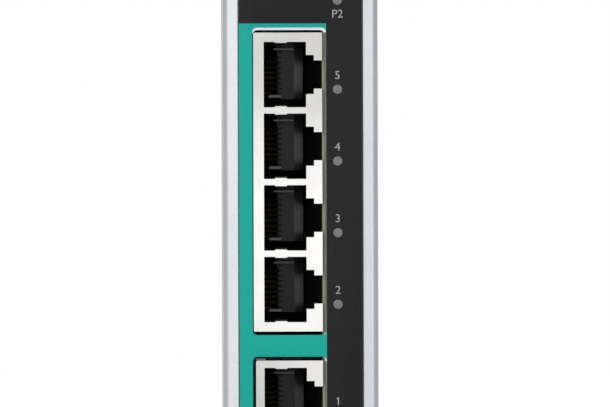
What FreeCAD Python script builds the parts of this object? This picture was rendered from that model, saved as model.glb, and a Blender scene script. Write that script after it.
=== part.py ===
import FreeCAD, Part
import math
import os
from FreeCAD import Vector

# Slim five-port network switch in a folded aluminium case, with a DIN-rail clip on its back.
# X runs across the front, Y from front to back, Z up.  All lengths are in millimetres.
# The pieces are drawn with the front plane of the case at y = 0 and moved to the middle at the end.

# ---- case sheet metal ----
case_width = 30.2
case_height = 115.0
case_depth = 70.0
sheet = 1.0
bend_radius = 1.3
lip_width = 3.0            # return lip of a side cover on the front and on the back
lip_edge_radius = 0.3
seam = 0.1                 # joint between a cover's lip and the folded band
panel_recess = 0.3         # band's front and back faces below the lips
label_thickness = 0.2
label_border = 1.9         # bare metal above and below the label
label_corner = 1.2

# ---- cover screws and their tabs ----
tab_length = 12.0
tab_height = 8.0
small_screw_radius = 1.25
small_head_radius = 2.25
small_screw_length = 5.0
thread_play = 0.05

# ---- jacks ----
jack_count = 4
single_jack_z = 17.04      # centre of the lowest jack
jack_depth = 21.5
jack_web = 1.22            # shield between two openings
block_gap = 5.67           # between the single block and the ganged one
board_left = 4.23          # board face that the jacks are soldered to
jack_face_y = 0.5
shield_wall = 0.25
quad_left_web = 2.05       # shield left of the openings
single_left_web = 1.65
quad_end_web = 1.82        # shield beyond the outermost openings
single_end_web = 1.42
port_width = 8.25
port_height = 12.75
step_width = 1.52
step_height = 7.6
notch_width = 1.61
notch_height = 5.5
port_depth = 14.0
ground_leaf_width = 2.3
ground_leaf_bulge = 0.55
ground_leaf_length = 5.0
ground_leaf_thickness = 0.2
panel_finger_width = 1.9
panel_finger_length = 4.0

# ---- contacts and comb inside a jack ----
contact_count = 8
contact_pitch = 1.02
contact_width = 0.42
contact_thickness = 0.3
contact_mouth = 2.4
contact_reach = 2.9
comb_width = 3.75
comb_start = 8.6
comb_setback = 3.55        # comb plate behind the bend of the contacts, past the end of a plug
comb_tooth = 0.9
comb_tooth_tip = 0.22
comb_plate_width = 2.3
ramp_width = 1.8
ramp_depth = 0.3
latch_slope = 2.3          # rear of the notch comes forward towards the board
cheek_inset = 1.05
cheek_drop = 4.05
cheek_height = 0.5
cheek_start = 6.0
cheek_slope = 1.2

# ---- cut-outs in the front ----
cut_gap_left = 0.2
cut_gap_right = 0.49
cut_gap_top = 0.47
cut_gap_bottom = 0.84
single_gap_top = 0.96
single_gap_left = 0.6
cut_corner = 1.0
bare_rim = 0.31            # sheet left bare round a cut-out's top and right
rim_top = 0.5

# ---- status lights ----
light_from_board = 1.39
light_rod = 1.7            # square rods and their punched holes, behind the film of the label
light_below_jack = 2.92
power_light_drops = [19.9, 11.4]   # below the top of the case
light_play = 0.1
light_strip_y = 5.6
light_strip_thickness = 1.6
light_strip_height = 2.6
light_strip_end = 2.2
peg_side = 1.4
led_length = 1.6
led_depth = 1.3
led_height = 2.2

# ---- board ----
board_thickness = 1.6
board_front = 1.7
board_back_gap = 8.0       # board to the back and to the top of the case
board_top_gap = 5.0
board_bottom = 3.6
board_corner = 1.5
front_fixing_y = 12.0
front_fixing_drop = 6.5    # below the top of the board
rear_fixing_inset = 7.0    # from the back of the board
low_fixing_z = 12.0
high_fixing_drop = 10.6    # below the power terminal
standoff_flats = 5.0
board_hole_radius = 1.4
pan_head_radius = 2.3
pan_head_height = 1.6

# ---- components on the board ----
magnetics_size = (6.0, 7.6, 12.0)
magnetics_behind = 7.4     # middle of a module behind the jacks
magnetics_legs = 3
chip_size = (1.5, 14.0, 20.0)
chip_place = (45.5, 58.0)
chip_legs = 4
leg_width = 0.7
leg_reach = 1.0
leg_height = 0.5
crystal_size = (3.6, 11.2, 4.7)
crystal_place = (45.5, 43.0)
inductor_size = (5.4, 11.0, 11.0)
inductor_place = (40.5, 79.0)
inductor_corner = 2.2
capacitor_radius = 4.0
capacitor_height = 11.5
input_capacitor_y = 26.0
input_capacitor_above = 5.2   # above the ganged jacks
rear_capacitors = [(8.5, 24.0), (17.4, 27.9)]   # (inset from the back of the board, height)
fuse_size = (2.7, 3.2, 7.4)
fuse_before = 3.5          # before the power terminal
fuse_drop = 4.5            # below the top of the board
diode_size = (2.3, 4.6, 2.8)
diode_y = 19.5
diode_drops = [3.5, 7.5]   # below the top of the board
regulator_size = (2.3, 6.6, 6.2)
regulator_inset = 10.0
regulator_z = 36.0

# ---- power terminal ----
pole_count = 4
pole_pitch = 5.08
header_inset = 4.4         # from the back of the board
header_side = 0.4          # header beyond the outer poles
header_width = 11.8
header_height = 16.4
header_floor = 3.0
header_wall = 0.9
pin_width = 1.0
pin_top_drop = 4.0
pin_through_board = 1.2
plug_play = 0.12
plug_insert = 10.4
plug_height = 10.0         # plug above the header
plug_overhang = 0.5
wire_entry = 3.6
entry_flare = 0.4
clamp_wall = 0.5
clamp_height = 5.6
clamp_play = 0.05
clamp_drop = 1.6
terminal_screw_radius = 1.5
terminal_screw_sunk = 0.5
terminal_screw_reach = 1.4

# ---- earth screw ----
earth_inset = 6.8          # from the back of the case
earth_radius = 2.0
earth_head_radius = 3.9
earth_head_height = 2.4
earth_length = 6.0
washer_radius = 4.3
washer_thickness = 0.8
washer_teeth = 8

# ---- vents ----
vent_width = 2.0
vent_length = 15.0
vent_pitch = 5.0
vent_start = 7.5
top_vents = 5
bottom_vents = 9

# ---- DIN rail clip ----
rail_height = 35.0
rail_thickness = 1.0
rail_z = 60.0              # centre of the rail
rail_play = 0.4
clip_side_gap = 1.0        # clip to the covers' lips
clip_thickness = 5.0
hook_thickness = 2.3
hook_grip = 1.9
hook_above = 3.6
hook_play = 0.3
clip_below = 0.6           # clip plate below the rail's lower edge
clip_corner = 1.0
clip_side_width = 5.0      # clip beside the latch
latch_thickness = 2.15
latch_play = 0.15
latch_grip = 1.8
latch_beak_height = 4.6
latch_tail = 13.0
latch_top = 2.0            # latch top above the rail's centre
tool_slot_width = 6.5
tool_slot_height = 2.0
tool_slot_drop = 7.0
window_width = 4.6
spring_radius = 1.8
spring_wire = 0.25
spring_turns = 5
spring_spans = 8           # straight spans in a turn of the coil
spring_length = 11.5
peg_height = 2.2
clip_screw_inset = 2.4
clip_screw_length = 8.0
clip_nut_flats = 4.6
clip_nut_height = 2.0
clearance_radius = 1.4

# ---- wall-mount holes ----
wall_hole_inset = 4.0
wall_hole_z = 91.0
wall_hole_radius = 1.25

# ---- values worked out from the sizes above ----
screw_hole_radius = small_screw_radius + thread_play
half_width = case_width / 2
inner_half = half_width - sheet
band_half = half_width - lip_width - seam
under_lip = bend_radius + seam / 2
clip_face = case_depth - panel_recess
rail_face = clip_face + clip_thickness
hook_inner = rail_face + rail_thickness + rail_play
hook_rear = hook_inner + hook_thickness
board_right = board_left + board_thickness
board_back = case_depth - board_back_gap
board_top = case_height - board_top_gap
port_left = board_left - port_width - step_width - notch_width
quad_left = port_left - quad_left_web
single_left = port_left - single_left_web
jack_back = jack_face_y + jack_depth
jack_pitch = port_height + jack_web
first_jack_z = single_jack_z + port_height + single_end_web + block_gap + quad_end_web
jack_zs = [single_jack_z] + [first_jack_z + jack_pitch * n for n in range(jack_count)]
light_x = board_right + light_from_board
light_zs = [z - light_below_jack for z in jack_zs] + [case_height - drop for drop in power_light_drops]
magnetics_y = jack_back + magnetics_behind
header_back = board_back - header_inset
header_bottom = case_height - header_height
header_rim = case_height
pin_x = board_left - header_width / 2
pin_bend_z = header_bottom + header_floor / 2
earth_y = case_depth - earth_inset
clip_width = 2 * (band_half - clip_side_gap)
clip_screw_x = clip_width / 2 - clip_screw_inset
latch_width = clip_width - 2 * clip_side_width
total_depth = hook_rear
wall_hole_x = 2 * (band_half - wall_hole_inset)
wall_hole_low = (case_height - wall_hole_z) / 2


def block(x0, x1, y0, y1, z0, z1):
    return Part.makeBox(x1 - x0, y1 - y0, z1 - z0, Vector(x0, y0, z0))


def front_bar(x, z, half, y0, y1):
    """Square bar that runs from front to back."""
    return block(x - half, x + half, y0, y1, z - half, z + half)


def upright_bar(x, y, half, z0, z1):
    """Square bar that stands upright."""
    return block(x - half, x + half, y - half, y + half, z0, z1)


def cross_bar(y, z, half, x0, x1):
    """Square bar that runs across."""
    return block(x0, x1, y - half, y + half, z - half, z + half)


def rod(centre, direction, radius, length):
    return Part.makeCylinder(radius, length, Vector(*centre), Vector(*direction))


def cone(centre, direction, radius0, radius1, length):
    return Part.makeCone(radius0, radius1, length, Vector(*centre), Vector(*direction))


def prism(points, direction):
    """Extrude a closed outline of 3-D points."""
    corners = [Vector(*p) for p in points]
    wire = Part.makePolygon(corners + corners[:1])
    return Part.Face(wire).extrude(Vector(*direction))


def fillet_along(shape, radius, axis, wanted=lambda point: True):
    """Round the straight edges that run along one axis and whose middle is wanted."""
    chosen = []
    for edge in shape.Edges:
        if edge.Curve.TypeId != "Part::GeomLine":
            continue
        run = edge.Vertexes[-1].Point - edge.Vertexes[0].Point
        along = abs(run.dot(Vector(*axis)))
        if along > 0.99 * run.Length and wanted(edge.CenterOfMass):
            chosen.append(edge)
    return shape.makeFillet(radius, chosen)


def round_edges(shape, wanted):
    """Circular edges whose centre is wanted."""
    return [e for e in shape.Edges if e.Curve.TypeId == "Part::GeomCircle" and wanted(e.CenterOfMass)]


def join(shapes):
    return shapes[0].multiFuse(shapes[1:]).removeSplitter()


def cut(shape, tools):
    return shape.cut(tools)


def group(shapes):
    return Part.makeCompound(shapes)


def slot_cutter(length, width, height, centre):
    """A round-ended slot along X, cut downwards through a wall."""
    x, y, z = centre
    straight = length - width
    body = block(x - straight / 2, x + straight / 2, y - width / 2, y + width / 2, z, z + height)
    ends = [rod((x + side * straight / 2, y, z), (0, 0, 1), width / 2, height) for side in (-1, 1)]
    return join([body] + ends)


def flat_screw(tip_direction, length, centre):
    """Small countersunk screw, its head flush with the given point."""
    head_height = small_head_radius - small_screw_radius
    head = cone(centre, tip_direction, small_head_radius, small_screw_radius, head_height)
    shank_start = Vector(*centre) + Vector(*tip_direction) * head_height
    shank = rod(tuple(shank_start), tip_direction, small_screw_radius, length - head_height)
    return join([head, shank])


# ---- case ----

def jack_cutouts():
    """Rectangles (x0, x1, z0, z1) that the front leaves open for the two jack blocks."""
    quad_z0, quad_z1 = quad_span()
    single_z0, single_z1 = single_span()
    right = board_left + cut_gap_right
    return [
        (quad_left - cut_gap_left, right, quad_z0 - cut_gap_bottom, quad_z1 + cut_gap_top),
        (single_left - single_gap_left, right, single_z0 - cut_gap_bottom, single_z1 + single_gap_top),
    ]


def quad_span():
    reach = port_height / 2 + quad_end_web
    return first_jack_z - reach, first_jack_z + jack_pitch * (jack_count - 1) + reach


def single_span():
    reach = port_height / 2 + single_end_web
    return single_jack_z - reach, single_jack_z + reach


def tab_places():
    """Centres (y, z) of the two cover-screw tabs on a side, top and bottom."""
    low = sheet + tab_height / 2
    return [(case_depth / 2, z) for z in (low, case_height - low)]


def header_box():
    """Outside of the power header: (y0, y1)."""
    length = pole_count * pole_pitch + 2 * header_side
    return header_back - length, header_back


def pole_ys():
    y0, y1 = header_box()
    middle = (y0 + y1) / 2
    return [middle + pole_pitch * (n - (pole_count - 1) / 2) for n in range(pole_count)]


def make_main_case():
    """Front, top, back and bottom folded from one band, its faces pushed out between the covers' lips."""
    def ring(half, front, inset, radius):
        body = block(-half, half, front + inset, case_depth - front - inset, inset, case_height - inset)
        return fillet_along(body, radius, (1, 0, 0))
    outside = join([
        ring(inner_half, under_lip, 0, bend_radius),
        ring(band_half, panel_recess, 0, bend_radius),
    ])
    inner_radius = bend_radius - sheet
    inside = [
        ring(inner_half, under_lip, sheet, inner_radius),
        ring(band_half - sheet, panel_recess, sheet, inner_radius),
    ]
    band = cut(outside, inside)
    extra = []
    for y, z in tab_places():
        for side in (-1, 1):
            half_tall = tab_height / 2
            tab = block(-sheet, 0, y - tab_length / 2, y + tab_length / 2, z - half_tall, z + half_tall)
            tab.translate(Vector(inner_half if side > 0 else sheet - inner_half, 0, 0))
            free_end = lambda p, z=z: abs(p.z - case_height / 2) < abs(z - case_height / 2)
            extra.append(fillet_along(tab, 2 * bend_radius, (1, 0, 0), free_end))
    band = join([band] + extra)
    tools = []
    for x0, x1, z0, z1 in jack_cutouts():
        opening = block(x0, x1, 0, 2 * under_lip + sheet, z0, z1)
        tools.append(fillet_along(opening, cut_corner, (0, 1, 0)))
    punch = light_rod / 2 + light_play
    for z in light_zs:
        tools.append(front_bar(light_x, z, punch, 0, 2 * under_lip + sheet))
    for y, z in tab_places():
        tools.append(rod((-half_width, y, z), (1, 0, 0), screw_hole_radius, case_width))
    for x in (-wall_hole_x / 2, wall_hole_x / 2):
        for z in (wall_hole_low, wall_hole_low + wall_hole_z):
            tools.append(rod((x, case_depth, z), (0, -1, 0), wall_hole_radius, 2 * under_lip + sheet))
    for x, z in clip_screw_places():
        tools.append(rod((x, case_depth, z), (0, -1, 0), clearance_radius, 2 * under_lip + sheet))
    tools.append(rod((0, earth_y, case_height), (0, 0, -1), earth_radius + thread_play, 3 * sheet))
    tools += [vent(n, case_height - 2 * sheet) for n in range(top_vents)]
    tools += [vent(n, -sheet) for n in range(bottom_vents)]
    y0, y1 = header_box()
    tools.append(block(board_left - header_width - hook_play, board_left + hook_play,
                       y0 - hook_play, y1 + hook_play, case_height - 2 * sheet, case_height + sheet))
    return cut(band, tools)


def vent(n, z):
    """Cutter of one vent slot, counted from the front."""
    y = vent_start + vent_pitch * n
    half = vent_width / 2
    return block(-vent_length / 2, vent_length / 2, y - half, y + half, z, z + 3 * sheet)


def countersink(side, y, z):
    """Cone that seats a small flat screw head in a side face."""
    wide = small_head_radius + thread_play
    narrow = screw_hole_radius
    return cone((side * half_width, y, z), (-side, 0, 0), wide, narrow, wide - narrow)


def make_cover(side):
    """Side cover: a channel with its edges rolled round onto the front and the back."""
    outside = block(-lip_width, 0, 0, case_depth, 0, case_height)
    outside = fillet_along(outside, bend_radius, (0, 0, 1), lambda p: p.x > -lip_width / 2)
    inside = block(-lip_width, -sheet, sheet, case_depth - sheet, 0, case_height)
    inside = fillet_along(inside, bend_radius - sheet, (0, 0, 1), lambda p: p.x > -lip_width / 2)
    cover = cut(outside, [inside])
    outer_lip = lambda p: p.x < -lip_width + seam and (p.y < sheet / 2 or p.y > case_depth - sheet / 2)
    cover = fillet_along(cover, lip_edge_radius, (0, 0, 1), outer_lip)
    if side < 0:
        cover = cover.mirror(Vector(0, 0, 0), Vector(1, 0, 0))
    cover.translate(Vector(side * half_width, 0, 0))
    tools = []
    for y, z in tab_places():
        tools.append(rod((side * half_width, y, z), (-side, 0, 0), screw_hole_radius, 2 * sheet))
        tools.append(countersink(side, y, z))
    return cut(cover, tools)


def make_cover_screws():
    screws = []
    for side in (-1, 1):
        for y, z in tab_places():
            place = (side * half_width, y, z)
            screws.append(flat_screw((-side, 0, 0), small_screw_length, place))
    return group(screws)


def make_front_label():
    """Thin printed overlay on the front, open at the jacks; the lights shine through its film."""
    front = panel_recess - label_thickness
    label = block(-band_half, band_half, front, panel_recess, label_border, case_height - label_border)
    label = fillet_along(label, label_corner, (0, 1, 0))
    tools = []
    for x0, x1, z0, z1 in jack_cutouts():
        opening = block(x0, x1 + bare_rim, 0, case_depth / 2, z0 - bare_rim / 2, z1 + rim_top)
        tools.append(fillet_along(opening, cut_corner, (0, 1, 0)))
    return cut(label, tools)


# ---- jacks ----

def port_outline(z, y):
    """Stepped outline of a jack opening, with its latch steps towards the board."""
    x1 = port_left + port_width
    x2 = x1 + step_width
    x3 = board_left
    port, step, notch = port_height / 2, step_height / 2, notch_height / 2
    corners = [(port_left, port), (x1, port), (x1, step), (x2, step), (x2, notch), (x3, notch)]
    corners = corners + [(x, -h) for x, h in reversed(corners)]
    return [(x, y, z + h) for x, h in corners]


def port_cutter(z, y0, y1):
    return prism(port_outline(z, y0), (0, y1 - y0, 0))


def ground_leaf(z_edge, side):
    """Spring leaf folded in from an opening's edge: it bows into the opening and back to the wall."""
    x0 = port_left + port_width / 2 - ground_leaf_width * 0.85
    y0 = jack_face_y
    middle = y0 + ground_leaf_length * 0.45
    back = y0 + ground_leaf_length
    t = ground_leaf_thickness
    bulge = ground_leaf_bulge
    line = [(y0, 0), (y0, 0.35 * bulge), (middle, bulge), (back, 0.25 * bulge)]
    line = line + [(back, 0.25 * bulge - t / 2), (middle, bulge - t), (y0 + t, 0)]
    points = [(x0, y, z_edge + side * h) for y, h in line]
    return prism(points, (ground_leaf_width, 0, 0))


def make_shield(left, z0, z1, ports):
    """Tin-plated can round a jack block: folded front, back, top, bottom and left, open to the board."""
    back = jack_face_y + jack_depth
    outside = block(left, board_left, jack_face_y, back, z0, z1)
    outside = fillet_along(outside, shield_wall, (0, 1, 0), lambda p: p.x < 0)
    w = shield_wall
    inside = block(left + w, board_left, jack_face_y + w, back - w, z0 + w, z1 - w)
    tools = [inside] + [port_cutter(z, 0, jack_face_y + 2 * w) for z in ports]
    can = cut(outside, tools)
    leaves = []
    for z in ports:
        leaves.append(ground_leaf(z + port_height / 2, -1))
        leaves.append(ground_leaf(z - port_height / 2, 1))
    return join([can] + leaves)


def make_jack_housing(left, z0, z1, ports):
    """Black moulded block inside the can: stepped cavities, contact combs and a sloped rear."""
    w = shield_wall
    front = jack_face_y + w
    body = block(left + w, board_left, front, jack_face_y + jack_depth - w, z0 + w, z1 - w)
    body = cut(body, [port_cutter(z, front, front + port_depth) for z in ports])
    extra = []
    rear = front + port_depth
    plate_front = comb_start + comb_setback
    tip = port_left + comb_width
    plate_right = tip + comb_plate_width
    ramp_right = plate_right + ramp_width
    plate = [(tip, plate_front), (plate_right, plate_front), (ramp_right, plate_front + ramp_depth),
             (ramp_right, rear), (tip, rear)]
    slope = [(ramp_right, rear), (board_left, rear - latch_slope), (board_left, rear)]
    for z in ports:
        low = z - port_height / 2
        extra.append(prism([(x, y, low) for x, y in plate], (0, 0, port_height)))
        extra.append(prism([(x, y, low) for x, y in slope], (0, 0, port_height)))
        extra += [comb_tooth_prism(z, n, plate_front, rear) for n in range(contact_count + 1)]
        extra.append(comb_cheek(z - cheek_drop, rear))
    return join([body] + extra)


def comb_tooth_prism(port_z, n, front, rear):
    """One tooth of the comb plate: it narrows away from the plate, between two contacts."""
    z = port_z + contact_pitch * (n - contact_count / 2)
    root = port_left + comb_width
    tip = root - comb_tooth
    base, end = contact_pitch / 2, comb_tooth_tip / 2
    outline = [(root, z - base), (root, z + base), (tip, z + end), (tip, z - end)]
    return prism([(x, front, z) for x, z in outline], (0, rear - front, 0))


def comb_cheek(top, rear):
    """Ledge below the lowest contact, its front sloped."""
    x = port_left + cheek_inset
    low = top - cheek_height
    side = [(cheek_start, low), (cheek_start + cheek_slope, top), (rear, top), (rear, low)]
    return prism([(x, y, z) for y, z in side], (comb_width - comb_tooth - cheek_inset, 0, 0))


def make_contacts(ports):
    """Gold-plated spring wires that slope from the mouth of each jack back into its comb."""
    wires = []
    t = contact_thickness
    end = jack_face_y + shield_wall + port_depth - t
    line = [
        (0, contact_mouth), (contact_reach, comb_start), (contact_reach, end),
        (contact_reach - t, end), (contact_reach - t, comb_start + t), (0, contact_mouth + 2 * t),
    ]
    for z in ports:
        low = z - contact_pitch * (contact_count - 1) / 2
        for n in range(contact_count):
            bottom = low + contact_pitch * n - contact_width / 2
            wires.append(prism([(port_left + x, y, bottom) for x, y in line], (0, 0, contact_width)))
    return group(wires)


def make_quad_jack_shield():
    z0, z1 = quad_span()
    return make_shield(quad_left, z0, z1, jack_zs[1:])


def make_single_jack_shield():
    """The single can also has a finger that presses on the edge of its cut-out."""
    z0, z1 = single_span()
    can = make_shield(single_left, z0, z1, jack_zs[:1])
    x0 = single_left
    y0 = jack_face_y
    rise = single_gap_top - seam
    line = [(y0 + shield_wall, 0), (y0, 0.4 * rise), (y0 + 1.2, rise), (y0 + panel_finger_length, 0)]
    line = line + [(y0 + panel_finger_length - 2 * shield_wall, 0), (y0 + 1.2, rise - shield_wall)]
    finger = prism([(x0, y, z1 + h) for y, h in line], (panel_finger_width, 0, 0))
    return join([can, finger])


# ---- board and what it carries ----

def board_fixings():
    """Places (y, z) of the board's screws."""
    rear = board_back - rear_fixing_inset
    return [(front_fixing_y, board_top - front_fixing_drop), (rear, low_fixing_z),
            (rear, header_bottom - high_fixing_drop)]


def make_main_board():
    board = block(board_left, board_right, board_front, board_back, board_bottom, board_top)
    board = fillet_along(board, board_corner, (1, 0, 0))
    tools = [strip_peg(z) for z in strip_peg_zs()]
    for y, z in board_fixings():
        tools.append(rod((board_left, y, z), (1, 0, 0), board_hole_radius, board_thickness))
    for y in pole_ys():
        tools.append(cross_bar(y, pin_bend_z, pin_width / 2, board_left, board_right))
    return cut(board, tools)


def hexagon(flats):
    """Corners of a hexagon of the given width across its flats."""
    corner = flats / math.sqrt(3)
    return [(corner * math.cos(math.pi / 3 * n), corner * math.sin(math.pi / 3 * n)) for n in range(6)]


def make_board_standoffs():
    """Hexagonal posts pressed into the right cover."""
    posts = []
    length = inner_half - board_right
    for y, z in board_fixings():
        post = prism([(board_right, y + dy, z + dz) for dy, dz in hexagon(standoff_flats)], (length, 0, 0))
        posts.append(cut(post, [rod((board_right, y, z), (1, 0, 0), screw_hole_radius, length)]))
    return group(posts)


def make_board_screws():
    screws = []
    for y, z in board_fixings():
        head = rod((board_left - pan_head_height, y, z), (1, 0, 0), pan_head_radius, pan_head_height)
        length = board_thickness + 2 * pan_head_height
        shank = rod((board_left, y, z), (1, 0, 0), small_screw_radius, length)
        screws.append(join([head, shank]))
    return group(screws)


def part_on_board(size, y, z):
    """Rectangular body standing on the board's left face."""
    height, length, tall = size
    low = z - tall / 2
    return block(board_left - height, board_left, y - length / 2, y + length / 2, low, low + tall)


def bevel_top(body, height, width):
    """Chamfer the edges of a component above the given height over the board."""
    return body.makeChamfer(width, [e for e in body.Edges if e.CenterOfMass.x < board_left - height])


def leg(y0, y1, z0, z1):
    return block(board_left - leg_height, board_left, y0, y1, z0, z1)


def make_magnetics():
    """One isolating transformer module behind each jack, with feet on both long sides."""
    modules = []
    height, length, tall = magnetics_size
    for port_z in jack_zs:
        body = part_on_board(magnetics_size, magnetics_y, port_z)
        body.translate(Vector(-leg_height / 2, 0, 0))
        body = bevel_top(body, height, leg_height)
        feet = []
        for n in range(magnetics_legs):
            z = port_z + (n - (magnetics_legs - 1) / 2) * tall / magnetics_legs
            y0 = magnetics_y - length / 2 - leg_reach
            y1 = magnetics_y + length / 2 + leg_reach
            feet.append(leg(y0, y1, z - leg_width / 2, z + leg_width / 2))
        modules.append(join([body] + feet))
    return group(modules)


def make_switch_chip():
    height, length, tall = chip_size
    y, z = chip_place
    body = part_on_board(chip_size, y, z)
    body.translate(Vector(-leg_height / 2, 0, 0))
    body = bevel_top(body, height, leg_height / 2)
    feet = []
    for n in range(chip_legs):
        along = (n - (chip_legs - 1) / 2) / chip_legs
        dy, dz = along * length, along * tall
        half = leg_width / 2
        for side in (-1, 1):
            y_side, z_side = y + side * length / 2, z + side * tall / 2
            y_ends = sorted((y_side - side * leg_width, y_side + side * leg_reach))
            z_ends = sorted((z_side - side * leg_width, z_side + side * leg_reach))
            feet.append(leg(y_ends[0], y_ends[1], z + dz - half, z + dz + half))
            feet.append(leg(y + dy - half, y + dy + half, z_ends[0], z_ends[1]))
    return join([body] + feet)


def make_crystal():
    can = part_on_board(crystal_size, *crystal_place)
    return fillet_along(can, crystal_size[2] * 0.45, (1, 0, 0))


def make_inductor():
    return fillet_along(part_on_board(inductor_size, *inductor_place), inductor_corner, (1, 0, 0))


def make_capacitors():
    """One beside the power input, two beside the regulator."""
    places = [(input_capacitor_y, quad_span()[1] + input_capacitor_above)]
    places += [(board_back - inset, z) for inset, z in rear_capacitors]
    start = board_left - capacitor_height
    return group([rod((start, y, z), (1, 0, 0), capacitor_radius, capacitor_height) for y, z in places])


def make_fuse():
    body = part_on_board(fuse_size, header_box()[0] - fuse_before, board_top - fuse_drop)
    return bevel_top(body, fuse_size[0] - seam, leg_height / 2)


def make_diodes():
    bodies = []
    height, length, tall = diode_size
    reach = length / 2 + leg_reach / 2
    for drop in diode_drops:
        z = board_top - drop
        feet = leg(diode_y - reach, diode_y + reach, z - tall / 4, z + tall / 4)
        bodies.append(join([part_on_board(diode_size, diode_y, z), feet]))
    return group(bodies)


def make_regulator():
    height, length, tall = regulator_size
    y, z = board_back - regulator_inset, regulator_z
    body = part_on_board(regulator_size, y, z)
    ends = (y - length / 2 - 2 * leg_reach, y + length / 2 + 2 * leg_reach)
    tab = leg(y, ends[1], z - tall / 2 + leg_height, z + tall / 2 - leg_height)
    half = leg_width / 2
    leg_zs = [z + side * tall / 3 for side in (-1, 0, 1)]
    return join([body, tab] + [leg(ends[0], y, leg_z - half, leg_z + half) for leg_z in leg_zs])


# ---- status lights ----

def strip_middle_y():
    return light_strip_y + light_strip_thickness / 2


def strip_peg_zs():
    """Pegs half-way between neighbouring lights."""
    ordered = sorted(light_zs)
    return [(ordered[0] + ordered[1]) / 2, (ordered[-2] + ordered[-3]) / 2]


def strip_peg(z):
    """Square peg that holds the light pipe in the board."""
    return cross_bar(strip_middle_y(), z, peg_side / 2, board_left, board_right)


def make_light_pipe():
    """One clear moulding: a strip on the board's right face with a square rod to each window."""
    low, high = min(light_zs) - light_strip_end, max(light_zs) + light_strip_end
    strip = block(board_right, board_right + light_strip_height, light_strip_y,
                  light_strip_y + light_strip_thickness, low, high)
    rods = [front_bar(light_x, z, light_rod / 2, panel_recess, light_strip_y) for z in light_zs]
    return join([strip] + rods + [strip_peg(z) for z in strip_peg_zs()])


def make_status_leds():
    y0 = light_strip_y + light_strip_thickness + light_play
    top = board_right + led_height
    half = led_length / 2
    return group([block(board_right, top, y0, y0 + led_depth, z - half, z + half) for z in light_zs])


# ---- power terminal ----

def make_terminal_header():
    """Shrouded four-pole socket on the board, open at the top of the case."""
    y0, y1 = header_box()
    x0 = board_left - header_width
    w = header_wall
    body = block(x0, board_left, y0, y1, header_bottom, header_rim)
    body = fillet_along(body, w / 2, (0, 0, 1), lambda p: p.x < 0)
    tools = [block(x0 + w, board_left - w, y0 + w, y1 - w, header_bottom + header_floor, header_rim)]
    half = pin_width / 2
    for y in pole_ys():
        tools.append(cross_bar(y, pin_bend_z, half, pin_x - half, board_left))
        tools.append(upright_bar(pin_x, y, half, pin_bend_z, header_rim))
        tools.append(block(x0, x0 + w, y - half, y + half, header_rim - 2 * w, header_rim))
    return cut(body, tools)


def make_header_pins():
    pins = []
    half = pin_width / 2
    top = header_rim - pin_top_drop
    for y in pole_ys():
        flat = cross_bar(y, pin_bend_z, half, pin_x - half, board_right + pin_through_board)
        pin = join([flat, upright_bar(pin_x, y, half, pin_bend_z, top)])
        tip = [e for e in pin.Edges if e.CenterOfMass.z > top - seam]
        pins.append(pin.makeChamfer(pin_width / 4, tip))
    return group(pins)


def plug_box():
    """Plug above the header: (x0, x1, y0, y1, z0, z1)."""
    y0, y1 = header_box()
    x0 = board_left - header_width - plug_overhang
    z0 = header_rim + plug_play
    return x0, board_left - plug_play, y0 - plug_play, y1 + plug_play, z0, z0 + plug_height


def screw_z():
    x0, x1, y0, y1, z0, z1 = plug_box()
    return z1 - clamp_drop - clamp_height / 2


def make_terminal_plug():
    """Pull-off plug: wire entries on top, screw holes on the left, pin sockets below."""
    x0, x1, y0, y1, z0, z1 = plug_box()
    top = block(x0, x1, y0, y1, z0, z1)
    top = fillet_along(top, plug_overhang, (0, 1, 0), lambda p: p.z > z0 + 1)
    hy0, hy1 = header_box()
    inset = header_wall + plug_play
    foot = block(board_left - header_width + inset, board_left - inset, hy0 + inset, hy1 - inset,
                 header_rim - plug_insert, z0 + 1)
    body = join([top, foot])
    tools = []
    half = wire_entry / 2
    pin_half = pin_width / 2 + plug_play
    for y in pole_ys():
        tools.append(upright_bar(pin_x, y, half, z1 - clamp_drop - clamp_height, z1))
        lower = Part.Wire(Part.makePolygon(rectangle(pin_x, y, half, z1 - entry_flare)))
        upper = Part.Wire(Part.makePolygon(rectangle(pin_x, y, half + entry_flare, z1)))
        tools.append(Part.makeLoft([lower, upper], True))
        tools.append(upright_bar(pin_x, y, pin_half, header_rim - plug_insert,
                                 header_rim - pin_top_drop + plug_play))
        tools.append(rod((x0, y, screw_z()), (1, 0, 0), terminal_screw_radius + plug_play, pin_x - x0))
    for y in pole_ys()[:-1]:
        middle = y + pole_pitch / 2
        tools.append(block(x0, x0 + header_wall / 2, middle - seam, middle + seam, z0, z1))
    return cut(body, tools)


def rectangle(x, y, half, z):
    """Closed square of points round (x, y) at height z."""
    corners = [(-half, -half), (half, -half), (half, half), (-half, half), (-half, -half)]
    return [Vector(x + dx, y + dy, z) for dx, dy in corners]


def make_terminal_clamps():
    """Square steel cages that the screws draw onto the wires."""
    cages = []
    x0, x1, y0, y1, z0, z1 = plug_box()
    top = z1 - clamp_drop
    outer = wire_entry / 2 - clamp_play
    inner = outer - clamp_wall
    for y in pole_ys():
        cage = upright_bar(pin_x, y, outer, top - clamp_height + clamp_play, top)
        hollow = upright_bar(pin_x, y, inner, top - clamp_height, top)
        hole = cross_bar(y, screw_z(), terminal_screw_radius + thread_play, pin_x - outer, pin_x)
        cages.append(cut(cage, [hollow, hole]))
    return group(cages)


def make_terminal_screws():
    """Headless screws that press on the wires inside the cages."""
    x0 = plug_box()[0] + terminal_screw_sunk
    length = pin_x - terminal_screw_reach + clamp_wall - x0
    return group([rod((x0, y, screw_z()), (1, 0, 0), terminal_screw_radius, length) for y in pole_ys()])


# ---- earth screw ----

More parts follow.
